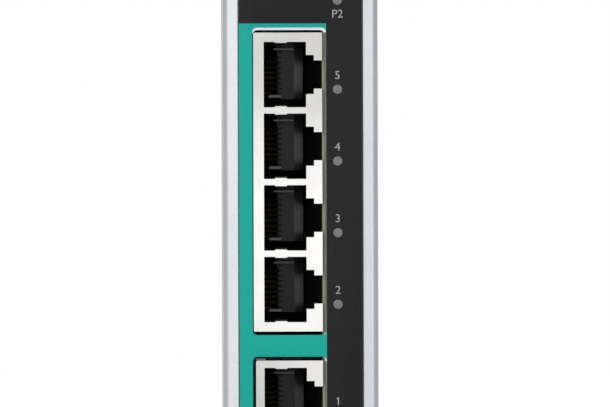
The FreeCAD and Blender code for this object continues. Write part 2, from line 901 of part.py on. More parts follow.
def make_earth_screw():
    z = case_height + washer_thickness
    head = rod((0, earth_y, z), (0, 0, 1), earth_head_radius, earth_head_height)
    rim = round_edges(head, lambda p: p.z > z + earth_head_height - seam)
    head = head.makeChamfer(earth_head_height / 3, rim)
    shank = rod((0, earth_y, z), (0, 0, -1), earth_radius, earth_length)
    return join([head, shank])


def make_earth_washer():
    """Toothed lock washer under the earth screw's head."""
    ring = rod((0, earth_y, case_height), (0, 0, 1), washer_radius, washer_thickness)
    tools = [rod((0, earth_y, case_height), (0, 0, 1), earth_radius + light_play, washer_thickness)]
    for n in range(washer_teeth):
        half = washer_thickness / 2
        inner, outer = washer_radius - washer_thickness, washer_radius + sheet
        notch = block(inner, outer, -half, half, 0, washer_thickness)
        notch.rotate(Vector(0, 0, 0), Vector(0, 0, 1), 360 / washer_teeth * n)
        notch.translate(Vector(0, earth_y, case_height))
        tools.append(notch)
    return cut(ring, tools)


# ---- DIN rail clip ----

def clip_bottom():
    return rail_z - rail_height / 2 - clip_below


def clip_screw_places():
    """One screw (x, z) on each side of the latch, level with the middle of the rail."""
    return [(-clip_screw_x, rail_z), (clip_screw_x, rail_z)]


def peg_z():
    """Underside of the fixed peg that carries the latch spring."""
    return rail_z + latch_top - 2 * latch_play - spring_length - peg_height - hook_thickness


def spring_seat():
    return peg_z() + peg_height


def make_din_clip():
    """Extruded plate with a fixed hook above the rail and a channel for the sliding latch."""
    top = rail_z + rail_height / 2
    under = top + hook_play
    crown = top + hook_above
    rear = hook_rear
    outline = [
        (clip_face, clip_bottom()), (rail_face, clip_bottom()), (rail_face, under), (hook_inner, under),
        (hook_inner, top - hook_grip), (rear - hook_thickness / 3, top - hook_grip),
        (rear, top - hook_grip / 2),
        (rear, crown - hook_thickness / 2), (rear - hook_thickness / 2, crown), (clip_face, crown),
    ]
    plate = prism([(-clip_width / 2, y, z) for y, z in outline], (clip_width, 0, 0))
    plate = fillet_along(plate, clip_corner, (0, 1, 0), lambda p: abs(p.x) > clip_width / 2 - 0.1)
    slide = latch_width / 2 + latch_play
    floor = clip_face + latch_thickness + 2 * latch_play
    channel = block(-slide, slide, clip_face, floor, clip_bottom(), rail_z + latch_top + latch_play)
    groove_half = spring_radius + 2 * latch_play
    groove = block(-groove_half, groove_half, floor, spring_y() + spring_radius + latch_play,
                   spring_seat(), spring_seat() + spring_length + latch_play)
    tools = [channel, groove]
    for x, z in clip_screw_places():
        tools.append(rod((x, clip_face, z), (0, 1, 0), clearance_radius, clip_thickness))
        wide = small_head_radius + thread_play
        tools.append(cone((x, rail_face, z), (0, -1, 0), wide, clearance_radius, wide - clearance_radius))
    plate = cut(plate, tools)
    peg_half = window_width / 2 - 2 * latch_play
    peg = block(-peg_half, peg_half, clip_face + latch_play, floor, peg_z(), spring_seat())
    return join([plate, peg])


def spring_y():
    return clip_face + 2 * latch_play + spring_radius


def make_din_latch():
    """Sliding foot: a beak below the rail, a window for the spring and a tail with a tool slot."""
    half = latch_width / 2
    front = clip_face + latch_play
    back = front + latch_thickness
    shelf = clip_bottom() - hook_play
    lip_top = rail_z - rail_height / 2 + latch_grip
    underside = shelf - latch_beak_height
    bottom = underside - latch_tail
    outline = [
        (front, bottom), (back, bottom), (back, underside), (hook_rear - clip_corner, underside),
        (hook_rear, underside + clip_corner), (hook_rear, shelf - hook_grip / 2),
        (hook_inner + hook_thickness / 3, lip_top), (hook_inner, lip_top), (hook_inner, shelf), (back, shelf),
        (back, rail_z + latch_top), (front, rail_z + latch_top),
    ]
    latch = prism([(-half, y, z) for y, z in outline], (latch_width, 0, 0))
    latch = fillet_along(latch, 2 * clip_corner, (0, 1, 0), lambda p: p.z < bottom + 1)
    window = block(-window_width / 2, window_width / 2, front, back,
                   peg_z() - latch_play / 2, spring_seat() + spring_length)
    slot = slot_cutter(tool_slot_width, tool_slot_height, latch_thickness, (0, 0, 0))
    slot.rotate(Vector(0, 0, 0), Vector(1, 0, 0), -90)
    slot.translate(Vector(0, front, underside - tool_slot_drop))
    return cut(latch, [window, slot])


def make_latch_spring():
    """Coil spring that presses the latch up against the rail, its turns drawn as short straight spans."""
    radius = spring_radius - spring_wire
    rise = spring_length - 2 * spring_wire
    steps = spring_turns * spring_spans

    def section(step):
        angle = 2 * math.pi * step / spring_spans
        middle = spring_seat() + spring_wire + rise * step / steps
        corners = [(-1, -1), (1, -1), (1, 1), (-1, 1)]
        return [Vector((radius + dr * spring_wire) * math.cos(angle),
                       spring_y() + (radius + dr * spring_wire) * math.sin(angle),
                       middle + dz * spring_wire) for dr, dz in corners]

    sections = [section(step) for step in range(steps + 1)]
    faces = [flat_face(sections[0]), flat_face(sections[-1])]
    for one, other in zip(sections, sections[1:]):
        for n in range(4):
            m = (n + 1) % 4
            faces.append(flat_face([one[n], one[m], other[m]]))
            faces.append(flat_face([one[n], other[m], other[n]]))
    return Part.Solid(Part.Shell(faces))


def flat_face(corners):
    return Part.Face(Part.makePolygon(corners + corners[:1]))


def make_clip_screws():
    screws = []
    for x, z in clip_screw_places():
        place = (x, rail_face, z)
        screws.append(flat_screw((0, -1, 0), clip_screw_length, place))
    return group(screws)


def make_clip_nuts():
    """Clinch nuts on the inside of the case's back."""
    nuts = []
    for x, z in clip_screw_places():
        corners = [(x + dx, clip_face - sheet, z + dz) for dz, dx in hexagon(clip_nut_flats)]
        bore = rod((x, clip_face, z), (0, -1, 0), screw_hole_radius, sheet + clip_nut_height)
        nuts.append(cut(prism(corners, (0, -clip_nut_height, 0)), [bore]))
    return group(nuts)


def make_all():
    quad_z0, quad_z1 = quad_span()
    single_z0, single_z1 = single_span()
    return {
        "main_case": make_main_case(),
        "left_cover": make_cover(-1),
        "right_cover": make_cover(1),
        "cover_screws": make_cover_screws(),
        "front_label": make_front_label(),
        "quad_jack_shield": make_quad_jack_shield(),
        "quad_jack_housing": make_jack_housing(quad_left, quad_z0, quad_z1, jack_zs[1:]),
        "quad_jack_contacts": make_contacts(jack_zs[1:]),
        "single_jack_shield": make_single_jack_shield(),
        "single_jack_housing": make_jack_housing(single_left, single_z0, single_z1, jack_zs[:1]),
        "single_jack_contacts": make_contacts(jack_zs[:1]),
        "main_board": make_main_board(),
        "board_standoffs": make_board_standoffs(),
        "board_screws": make_board_screws(),
        "magnetics_modules": make_magnetics(),
        "switch_chip": make_switch_chip(),
        "crystal": make_crystal(),
        "power_inductor": make_inductor(),
        "filter_capacitors": make_capacitors(),
        "input_fuse": make_fuse(),
        "input_diodes": make_diodes(),
        "voltage_regulator": make_regulator(),
        "light_pipe": make_light_pipe(),
        "status_leds": make_status_leds(),
        "terminal_header": make_terminal_header(),
        "header_pins": make_header_pins(),
        "terminal_plug": make_terminal_plug(),
        "terminal_clamps": make_terminal_clamps(),
        "terminal_screws": make_terminal_screws(),
        "earth_screw": make_earth_screw(),
        "earth_washer": make_earth_washer(),
        "din_clip": make_din_clip(),
        "din_latch": make_din_latch(),
        "latch_spring": make_latch_spring(),
        "clip_screws": make_clip_screws(),
        "clip_nuts": make_clip_nuts(),
    }


os.makedirs("parts", exist_ok=True)
for name, shape in make_all().items():
    shape.translate(Vector(0, -total_depth / 2, 0))
    shape.exportStep("parts/" + name + ".step")
    print(name, shape.ShapeType, len(shape.Solids), "solids", shape.isValid(), round(shape.Volume, 1))
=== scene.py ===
import bmesh
import bpy
import math
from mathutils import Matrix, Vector


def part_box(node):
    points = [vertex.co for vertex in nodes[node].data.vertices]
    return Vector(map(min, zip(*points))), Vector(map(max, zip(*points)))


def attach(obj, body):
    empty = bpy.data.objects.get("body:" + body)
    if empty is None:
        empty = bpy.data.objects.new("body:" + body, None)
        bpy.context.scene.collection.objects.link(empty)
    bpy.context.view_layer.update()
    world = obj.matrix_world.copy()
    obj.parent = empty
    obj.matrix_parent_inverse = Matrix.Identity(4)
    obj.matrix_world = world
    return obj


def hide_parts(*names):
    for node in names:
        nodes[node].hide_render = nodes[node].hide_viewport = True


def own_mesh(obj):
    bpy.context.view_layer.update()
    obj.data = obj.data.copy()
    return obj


# Slim five-port network switch on its DIN-rail clip.  X runs across the front, Y to the back, Z up; metres.
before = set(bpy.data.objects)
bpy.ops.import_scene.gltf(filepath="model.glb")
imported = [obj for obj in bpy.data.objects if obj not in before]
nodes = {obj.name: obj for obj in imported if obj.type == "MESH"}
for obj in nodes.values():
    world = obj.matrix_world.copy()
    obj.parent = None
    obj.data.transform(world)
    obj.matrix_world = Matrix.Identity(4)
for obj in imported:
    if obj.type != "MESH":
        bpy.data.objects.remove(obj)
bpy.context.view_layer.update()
mm = 0.001

labelLow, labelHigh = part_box("front_label")


# small helpers

def srgbToLinear(hexColour):
    channels = [int(hexColour[i:i + 2], 16) / 255 for i in (1, 3, 5)]
    linear = [c / 12.92 if c <= 0.04045 else ((c + 0.055) / 1.055) ** 2.4 for c in channels]
    return (*linear, 1.0)


def addNode(tree, kind, settings=None, values=None, links=None):
    # one node with its settings, its input values and the sockets that feed it
    node = tree.nodes.new(kind)
    for name, value in (settings or {}).items():
        setattr(node, name, value)
    for name, value in (values or {}).items():
        node.inputs[name].default_value = value
    feed(tree, node, links or {})
    return node


def feed(tree, node, links):
    for name, socket in links.items():
        tree.links.new(socket, node.inputs[name])


def newMaterial(name, values):
    material = bpy.data.materials.new(name)
    material.use_nodes = True
    tree = material.node_tree
    shader = tree.nodes["Principled BSDF"]
    for socket, value in values.items():
        shader.inputs[socket].default_value = value
    place = addNode(tree, "ShaderNodeTexCoord").outputs["Object"]
    return material, tree, shader, place


def paint(nodeNames, material):
    for name in nodeNames:
        mesh = nodes[name].data
        mesh.materials.clear()
        mesh.materials.append(material)


def deselectAll():
    if bpy.context.mode != "OBJECT":
        bpy.ops.object.mode_set(mode="OBJECT")
    bpy.ops.object.select_all(action="DESELECT")


def selectOnly(piece):
    deselectAll()
    piece.select_set(True)
    bpy.context.view_layer.objects.active = piece


def applyPlace(piece):
    selectOnly(piece)
    bpy.ops.object.transform_apply(location=True, rotation=True, scale=True)


def applyModifiers(piece):
    selectOnly(piece)
    for modifier in list(piece.modifiers):
        bpy.ops.object.modifier_apply(modifier=modifier.name)


def mergeDoubles(piece, distance, faceOutwards=False):
    selectOnly(piece)
    bpy.ops.object.mode_set(mode="EDIT")
    bpy.ops.mesh.select_all(action="SELECT")
    bpy.ops.mesh.remove_doubles(threshold=distance)
    if faceOutwards:
        bpy.ops.mesh.normals_make_consistent(inside=False)
    bpy.ops.object.mode_set(mode="OBJECT")


def editVerts(piece, wanted):
    # goes into edit mode with only the wanted corners selected
    selectOnly(piece)
    bpy.ops.object.mode_set(mode="EDIT")
    mesh = bmesh.from_edit_mesh(piece.data)
    for vert in mesh.verts:
        vert.select = wanted(vert.co)
    mesh.select_flush_mode()
    bmesh.update_edit_mesh(piece.data)


def finishPiece(piece, material, replaced=(), smooth=30):
    # all the pieces made here sit on the switch's own body; none rides the latch
    applyPlace(piece)
    bpy.ops.object.shade_smooth_by_angle(angle=math.radians(smooth))
    piece.data.materials.clear()
    piece.data.materials.append(material)
    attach(piece, "switch")
    if replaced:
        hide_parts(*replaced)


def boxPiece(name, low, high):
    deselectAll()
    middle = (Vector(low) + Vector(high)) / 2
    bpy.ops.mesh.primitive_cube_add(size=1, location=middle)
    piece = bpy.context.object
    piece.name = name
    piece.scale = Vector(high) - Vector(low)
    applyPlace(piece)
    return piece


def roundedPlate(name, low, high, corner):
    # a flat plate facing -Y, its four corners rounded
    plate = boxPiece(name, low, high)
    bpy.ops.object.mode_set(mode="EDIT")
    mesh = bmesh.from_edit_mesh(plate.data)
    for edge in mesh.edges:
        along = edge.verts[0].co - edge.verts[1].co
        edge.select = abs(along.y) > 0.9 * along.length
    bmesh.update_edit_mesh(plate.data)
    bpy.ops.mesh.bevel(offset=corner, segments=6, affect="EDGES")
    bpy.ops.object.mode_set(mode="OBJECT")
    return plate


def turnedShape(name, rings):
    # a disc whose face is extruded and resized ring by ring; each ring is (radius, height)
    deselectAll()
    radius, height = rings[0]
    bpy.ops.mesh.primitive_circle_add(vertices=48, radius=radius, fill_type="NGON",
                                      location=(0, 0, height))
    piece = bpy.context.object
    piece.name = name
    applyPlace(piece)
    bpy.ops.object.mode_set(mode="EDIT")
    bpy.ops.mesh.select_all(action="SELECT")
    for nextRadius, nextHeight in rings[1:]:
        bpy.ops.mesh.extrude_region_move(TRANSFORM_OT_translate={"value": (0, 0, nextHeight - height)})
        ratio = nextRadius / radius
        bpy.ops.transform.resize(value=(ratio, ratio, 1), center_override=(0, 0, nextHeight))
        radius, height = nextRadius, nextHeight
    bpy.ops.object.mode_set(mode="OBJECT")
    mergeDoubles(piece, 0.002 * mm, faceOutwards=True)
    return piece


def carve(piece, cutter):
    modifier = piece.modifiers.new("carve", "BOOLEAN")
    modifier.operation = "DIFFERENCE"
    modifier.solver = "EXACT"
    modifier.object = cutter
    applyModifiers(piece)
    bpy.data.objects.remove(cutter)


def softenEdges(piece, width, angle=35):
    modifier = piece.modifiers.new("soften", "BEVEL")
    modifier.width = width
    modifier.segments = 2
    modifier.limit_method = "ANGLE"
    modifier.angle_limit = math.radians(angle)
    applyModifiers(piece)


def joinPieces(pieces, name):
    selectOnly(pieces[0])
    for piece in pieces:
        piece.select_set(True)
    bpy.ops.object.join()
    joined = bpy.context.object
    joined.name = name
    return joined


def placeCopy(source, name, place=(0, 0, 0), turn=(0, 0, 0)):
    copy = source.copy()
    copy.data = source.data.copy()
    copy.name = name
    bpy.context.scene.collection.objects.link(copy)
    copy.location = place
    copy.rotation_euler = turn
    applyPlace(copy)
    return copy


facing = {                    # turns a piece that looks up +Z towards each side
    "-x": (0, -math.pi / 2, 0), "+x": (0, math.pi / 2, 0),
    "-y": (math.pi / 2, 0, 0), "+y": (-math.pi / 2, 0, 0), "+z": (0, 0, 0)}


print("materials")


def beadBlastedAluminium(name, darkest, lightest):
    # aluminium sheet, bead blasted and clear anodised: even silver grey, satin, with a very fine grit,
    # drawn coarser than a real one so that it shows
    look = {"grit": 0.22 * mm, "gritHeight": 0.015 * mm, "cloud": 9 * mm, "smoothest": 0.36, "roughest": 0.5}
    material, tree, shader, place = newMaterial(name, {"Metallic": 1.0, "Roughness": 0.42})
    grit = addNode(tree, "ShaderNodeTexNoise", values={"Scale": 1 / look["grit"], "Detail": 2.0},
                   links={"Vector": place})
    cloud = addNode(tree, "ShaderNodeTexNoise", values={"Scale": 1 / look["cloud"], "Detail": 3.0},
                    links={"Vector": place})
    shade = addNode(tree, "ShaderNodeMix", {"data_type": "RGBA"}, {
        "A": srgbToLinear(darkest), "B": srgbToLinear(lightest)}, {"Factor": cloud.outputs["Fac"]})
    satin = addNode(tree, "ShaderNodeMapRange", values={
        "To Min": look["smoothest"], "To Max": look["roughest"]}, links={"Value": grit.outputs["Fac"]})
    bump = addNode(tree, "ShaderNodeBump", values={"Strength": 0.25, "Distance": look["gritHeight"]},
                   links={"Height": grit.outputs["Fac"]})
    feed(tree, shader, {"Base Color": shade.outputs["Result"], "Roughness": satin.outputs["Result"],
                        "Normal": bump.outputs["Normal"]})
    return material


def printedFilm():
    # polyester overlay printed from behind: charcoal with one green field, matt and slightly mottled
    look = {"greenRight": labelLow.x + 17.03 * mm, "greenTop": 90.57 * mm, "mottle": 0.35 * mm,
            "pebble": 0.12 * mm, "pebbleHeight": 0.01 * mm}
    material, tree, shader, place = newMaterial("printedFilm", {"Roughness": 0.5, "Specular IOR Level": 0.12})
    axes = addNode(tree, "ShaderNodeSeparateXYZ", links={"Vector": place})
    left = addNode(tree, "ShaderNodeMath", {"operation": "LESS_THAN"}, {1: look["greenRight"]},
                   {0: axes.outputs["X"]})
    low = addNode(tree, "ShaderNodeMath", {"operation": "LESS_THAN"}, {1: look["greenTop"]},
                  {0: axes.outputs["Z"]})
    inside = addNode(tree, "ShaderNodeMath", {"operation": "MULTIPLY"}, {},
                     {0: left.outputs[0], 1: low.outputs[0]})
    mottle = addNode(tree, "ShaderNodeTexNoise", values={"Scale": 1 / look["mottle"], "Detail": 3.0},
                     links={"Vector": place})
    charcoal = addNode(tree, "ShaderNodeMix", {"data_type": "RGBA"}, {
        "A": srgbToLinear("#111113"), "B": srgbToLinear("#28282A")}, {"Factor": mottle.outputs["Fac"]})
    green = addNode(tree, "ShaderNodeMix", {"data_type": "RGBA"}, {
        "A": srgbToLinear("#12AA9C"), "B": srgbToLinear("#20B8AA")}, {"Factor": mottle.outputs["Fac"]})
    ink = addNode(tree, "ShaderNodeMix", {"data_type": "RGBA"}, {}, {
        "Factor": inside.outputs[0], "A": charcoal.outputs["Result"], "B": green.outputs["Result"]})
    pebble = addNode(tree, "ShaderNodeTexVoronoi", values={"Scale": 1 / look["pebble"]},
                     links={"Vector": place})
    bump = addNode(tree, "ShaderNodeBump", values={"Strength": 0.15, "Distance": look["pebbleHeight"]},
                   links={"Height": pebble.outputs["Distance"]})
    feed(tree, shader, {"Base Color": ink.outputs["Result"], "Normal": bump.outputs["Normal"]})
    return material


def whiteInk():
    # screen-printed ink, thin and a little uneven, so it reads as pale grey
    look = {"speck": 0.2 * mm}
    material, tree, shader, place = newMaterial("whiteInk", {"Roughness": 0.6, "Specular IOR Level": 0.2})
    speck = addNode(tree, "ShaderNodeTexNoise", values={"Scale": 1 / look["speck"]}, links={"Vector": place})
    shade = addNode(tree, "ShaderNodeMix", {"data_type": "RGBA"}, {
        "A": srgbToLinear("#8E8E90"), "B": srgbToLinear("#BFBFC1")}, {"Factor": speck.outputs["Fac"]})
    feed(tree, shader, {"Base Color": shade.outputs["Result"]})
    return material


def tinPlatedSteel(name, darkest, lightest, shadedEnd=0, litEnd=1, along="Z"):
    # cold-rolled strip, tin plated: warm white metal, faint rolling lines and soft smudges
    # painted shade: the colour brightens from shadedEnd to litEnd; ends a metre apart leave a small piece at
    # its darker colour
    look = {"lines": 0.3 * mm, "stretch": 0.05, "lineHeight": 0.01 * mm, "smudge": 7 * mm, "uneven": 0.15,
            "smoothest": 0.22, "roughest": 0.38}
    material, tree, shader, place = newMaterial(name, {"Metallic": 1.0, "Roughness": 0.3})
    rolled = addNode(tree, "ShaderNodeMapping", values={"Scale": (1, 1, look["stretch"])},
                     links={"Vector": place})
    lines = addNode(tree, "ShaderNodeTexNoise", values={"Scale": 1 / look["lines"], "Detail": 3.0},
                    links={"Vector": rolled.outputs["Vector"]})
    smudge = addNode(tree, "ShaderNodeTexNoise", values={"Scale": 1 / look["smudge"], "Detail": 4.0},
                     links={"Vector": place})
    axes = addNode(tree, "ShaderNodeSeparateXYZ", links={"Vector": place})
    # painted shade: darker at shadedEnd, brighter at litEnd
    paintedShadeRamp = addNode(tree, "ShaderNodeMapRange", values={"From Min": shadedEnd, "From Max": litEnd},
                   links={"Value": axes.outputs[along]})
    spread = addNode(tree, "ShaderNodeMapRange", values={
        "From Min": 0.3, "From Max": 0.7, "To Min": -look["uneven"], "To Max": look["uneven"]},
        links={"Value": smudge.outputs["Fac"]})
    paintedShadeAndSmudge = addNode(tree, "ShaderNodeMath", {"operation": "ADD", "use_clamp": True}, {}, {
        0: paintedShadeRamp.outputs["Result"], 1: spread.outputs["Result"]})
    shade = addNode(tree, "ShaderNodeMix", {"data_type": "RGBA"}, {
        "A": srgbToLinear(darkest), "B": srgbToLinear(lightest)}, {"Factor": paintedShadeAndSmudge.outputs[0]})
    satin = addNode(tree, "ShaderNodeMapRange", values={
        "To Min": look["smoothest"], "To Max": look["roughest"]}, links={"Value": smudge.outputs["Fac"]})
    bump = addNode(tree, "ShaderNodeBump", values={"Strength": 0.15, "Distance": look["lineHeight"]},
                   links={"Height": lines.outputs["Fac"]})
    feed(tree, shader, {"Base Color": shade.outputs["Result"], "Roughness": satin.outputs["Result"],
                        "Normal": bump.outputs["Normal"]})
    return material


def mouldedPlastic(name, darkest, lightest, roughness, grain, specular=0.5):
    # injection-moulded plastic: one colour that drifts a little, with the mould's spark-eroded grain,
    # drawn coarser than a real one so that it shows
    look = {"drift": 3 * mm, "grainHeight": 0.01 * mm, "uneven": 0.08}
    material, tree, shader, place = newMaterial(name, {"Specular IOR Level": specular})
    drift = addNode(tree, "ShaderNodeTexNoise", values={"Scale": 1 / look["drift"], "Detail": 3.0},
                    links={"Vector": place})
    spark = addNode(tree, "ShaderNodeTexNoise", values={"Scale": 1 / grain, "Detail": 2.0},
                    links={"Vector": place})
    shade = addNode(tree, "ShaderNodeMix", {"data_type": "RGBA"}, {
        "A": srgbToLinear(darkest), "B": srgbToLinear(lightest)}, {"Factor": drift.outputs["Fac"]})
    gloss = addNode(tree, "ShaderNodeMapRange", values={
        "To Min": roughness - look["uneven"], "To Max": roughness + look["uneven"]},
        links={"Value": spark.outputs["Fac"]})
    bump = addNode(tree, "ShaderNodeBump", values={"Strength": 0.3, "Distance": look["grainHeight"]},
                   links={"Height": spark.outputs["Fac"]})
    feed(tree, shader, {"Base Color": shade.outputs["Result"], "Roughness": gloss.outputs["Result"],
                        "Normal": bump.outputs["Normal"]})
    return material


def platedMetal(name, darkest, lightest, roughness):
    # turned or pressed metal with a plated finish: colour and gloss drift over the surface
    look = {"drift": 1.5 * mm, "grit": 0.15 * mm, "gritHeight": 0.01 * mm, "uneven": 0.07}
    material, tree, shader, place = newMaterial(name, {"Metallic": 1.0})
    drift = addNode(tree, "ShaderNodeTexNoise", values={"Scale": 1 / look["drift"], "Detail": 4.0},
                    links={"Vector": place})
    grit = addNode(tree, "ShaderNodeTexNoise", values={"Scale": 1 / look["grit"]}, links={"Vector": place})
    shade = addNode(tree, "ShaderNodeMix", {"data_type": "RGBA"}, {
        "A": srgbToLinear(darkest), "B": srgbToLinear(lightest)}, {"Factor": drift.outputs["Fac"]})
    gloss = addNode(tree, "ShaderNodeMapRange", values={
        "To Min": roughness - look["uneven"], "To Max": roughness + look["uneven"]},
        links={"Value": drift.outputs["Fac"]})
    bump = addNode(tree, "ShaderNodeBump", values={"Strength": 0.1, "Distance": look["gritHeight"]},
                   links={"Height": grit.outputs["Fac"]})
    feed(tree, shader, {"Base Color": shade.outputs["Result"], "Roughness": gloss.outputs["Result"],
                        "Normal": bump.outputs["Normal"]})
    return material


def boardLaminate():
    # glass-epoxy board: green solder mask on both faces, straw-coloured layered glass at the cut edges
    look = {"layer": 0.12 * mm, "stretch": 0.05, "track": 4 * mm, "gap": 0.03}
    material, tree, shader, place = newMaterial("boardLaminate", {"Roughness": 0.42})
    geometry = addNode(tree, "ShaderNodeNewGeometry")
    facingAxes = addNode(tree, "ShaderNodeSeparateXYZ", links={"Vector": geometry.outputs["Normal"]})
    across = addNode(tree, "ShaderNodeMath", {"operation": "ABSOLUTE"}, {}, {0: facingAxes.outputs["X"]})
    flat = addNode(tree, "ShaderNodeMath", {"operation": "GREATER_THAN"}, {1: 0.5}, {0: across.outputs[0]})
    layered = addNode(tree, "ShaderNodeMapping", values={"Scale": (1, look["stretch"], look["stretch"])},
                      links={"Vector": place})
    layers = addNode(tree, "ShaderNodeTexNoise", values={"Scale": 1 / look["layer"]},
                     links={"Vector": layered.outputs["Vector"]})
    edge = addNode(tree, "ShaderNodeMix", {"data_type": "RGBA"}, {
        "A": srgbToLinear("#8A8A5C"), "B": srgbToLinear("#B9B78A")}, {"Factor": layers.outputs["Fac"]})
    tracks = addNode(tree, "ShaderNodeTexBrick", values={
        "Scale": 1 / look["track"], "Color1": srgbToLinear("#135A33"), "Color2": srgbToLinear("#10502D"),
        "Mortar": srgbToLinear("#2B7A4B"), "Mortar Size": look["gap"]}, links={"Vector": place})
    mask = addNode(tree, "ShaderNodeMix", {"data_type": "RGBA"}, {}, {
        "Factor": flat.outputs[0], "A": edge.outputs["Result"], "B": tracks.outputs["Color"]})
    feed(tree, shader, {"Base Color": mask.outputs["Result"]})
    return material


def clearAcrylic():
    # clear moulded acrylic: a water-clear light guide that picks up the dark around it
    look = {"flow": 1.5 * mm, "smoothest": 0.05, "roughest": 0.2}
    material, tree, shader, place = newMaterial("clearAcrylic", {
        "Base Color": srgbToLinear("#E9ECEE"), "Transmission Weight": 1.0, "IOR": 1.49})
    flow = addNode(tree, "ShaderNodeTexNoise", values={"Scale": 1 / look["flow"]}, links={"Vector": place})
    gloss = addNode(tree, "ShaderNodeMapRange", values={
        "To Min": look["smoothest"], "To Max": look["roughest"]}, links={"Value": flow.outputs["Fac"]})
    feed(tree, shader, {"Roughness": gloss.outputs["Result"]})
    return material


def frostedAcrylic():
    # clear moulded acrylic with a frosted end: over the dark inside it reads as a mid-grey dot
    look = {"frost": 0.25 * mm, "frostHeight": 0.01 * mm}
    material, tree, shader, place = newMaterial("frostedAcrylic", {"Roughness": 0.35, "IOR": 1.49})
    frost = addNode(tree, "ShaderNodeTexNoise", values={"Scale": 1 / look["frost"], "Detail": 3.0},
                    links={"Vector": place})
    shade = addNode(tree, "ShaderNodeMix", {"data_type": "RGBA"}, {
        "A": srgbToLinear("#5C5C5E"), "B": srgbToLinear("#78787A")}, {"Factor": frost.outputs["Fac"]})
    bump = addNode(tree, "ShaderNodeBump", values={"Strength": 0.3, "Distance": look["frostHeight"]},
                   links={"Height": frost.outputs["Fac"]})
    feed(tree, shader, {"Base Color": shade.outputs["Result"], "Normal": bump.outputs["Normal"]})
    return material


aluminium = beadBlastedAluminium("beadBlastedAluminium", "#A7AAAF", "#B0B3B8")
tin = tinPlatedSteel("tinPlatedSteel", "#B0AEA8", "#C0BEB9")
blackPbt = mouldedPlastic("blackPbt", "#08080A", "#121214", 0.27, 0.12 * mm, 0.13)
zinc = platedMetal("zincPlatedSteel", "#B4B8BB", "#D2D5D8", 0.3)
# the contact wires' gold is painted dark, painted shade for wires deep inside the jacks
shadeDarkenedGold = platedMetal("shadeDarkenedGoldBronze", "#7E6535", "#A38A52", 0.3)
nickel = platedMetal("nickelPlatedBrass", "#BDB8AA", "#D8D4C8", 0.28)
springSteel = platedMetal("springSteel", "#8F9294", "#B0B3B5", 0.26)
epoxy = mouldedPlastic("blackEpoxy", "#17171A", "#232326", 0.5, 0.1 * mm)
ferrite = mouldedPlastic("darkFerrite", "#2E2F31", "#3B3C3F", 0.6, 0.2 * mm)
greenNylon = mouldedPlastic("greenNylon", "#1E7F4A", "#2B9458", 0.4, 0.15 * mm)
blackAcetal = mouldedPlastic("blackAcetal", "#101011", "#1D1D1F", 0.38, 0.15 * mm)
ivoryCeramic = mouldedPlastic("ivoryCeramic", "#D8D3C4", "#E6E2D6", 0.45, 0.1 * mm)

paint(["main_case", "din_clip"], aluminium)
# painted light on the left cover and painted shade on the right cover: lighter and darker copies of the
# case's aluminium
paint(["left_cover"], beadBlastedAluminium("leftLitBlastedAluminium", "#ABADB1", "#B5B7BB"))
paint(["right_cover"], beadBlastedAluminium("rightShadedBlastedAluminium", "#A1A4AA", "#AAADB3"))
# the four-jack shield is a darker copy of the tin, painted shade that deepens towards its top
paint(["quad_jack_shield"], tinPlatedSteel("topShadedTinPlate", "#969593", "#BCBBB8", 83 * mm, 55 * mm))
# the single jack's shield is a darker copy of the tin, painted shade that deepens towards its left
paint(["single_jack_shield"], tinPlatedSteel("leftShadedTinPlate", "#9C9E9A", "#B6B4B0", -12 * mm, 8 * mm, "X"))
paint(["terminal_clamps", "header_pins"], tin)
paint(["quad_jack_housing", "single_jack_housing"], blackPbt)
paint(["quad_jack_contacts", "single_jack_contacts"], shadeDarkenedGold)
paint(["main_board"], boardLaminate())
paint(["light_pipe"], clearAcrylic())
paint(["status_leds", "input_fuse"], ivoryCeramic)
paint(["cover_screws", "board_screws", "clip_screws", "clip_nuts", "earth_screw", "earth_washer",
       "terminal_screws"], zinc)
paint(["board_standoffs", "crystal", "filter_capacitors"], nickel)
paint(["terminal_plug", "terminal_header"], greenNylon)
paint(["din_latch"], blackAcetal)
paint(["magnetics_modules", "switch_chip", "input_diodes", "voltage_regulator"], epoxy)
paint(["power_inductor"], ferrite)
paint(["latch_spring"], springSteel)

print("label")


def jackMiddles():
    # heights of the five jacks' middles, the lowest first
    sizes = {"pitch": 13.97 * mm, "aboveSingleCan": 7.795 * mm, "aboveQuadCan": 8.195 * mm}
    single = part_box("single_jack_shield")[0].z + sizes["aboveSingleCan"]
    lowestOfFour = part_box("quad_jack_shield")[0].z + sizes["aboveQuadCan"]
    return [single] + [lowestOfFour + sizes["pitch"] * n for n in range(4)]


def lightPlaces():
    # middles of the status lights: one below each jack's middle, two under the power terminal
    sizes = {"belowJack": 2.92 * mm, "belowPipeTop": 2.2 * mm, "betweenPower": 8.5 * mm,
             "besidePipe": 2.99 * mm}
    pipeLow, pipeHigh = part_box("light_pipe")
    top = pipeHigh.z - sizes["belowPipeTop"]
    portLights = [z - sizes["belowJack"] for z in jackMiddles()]
    return pipeLow.x + sizes["besidePipe"], portLights, [top - sizes["betweenPower"], top]


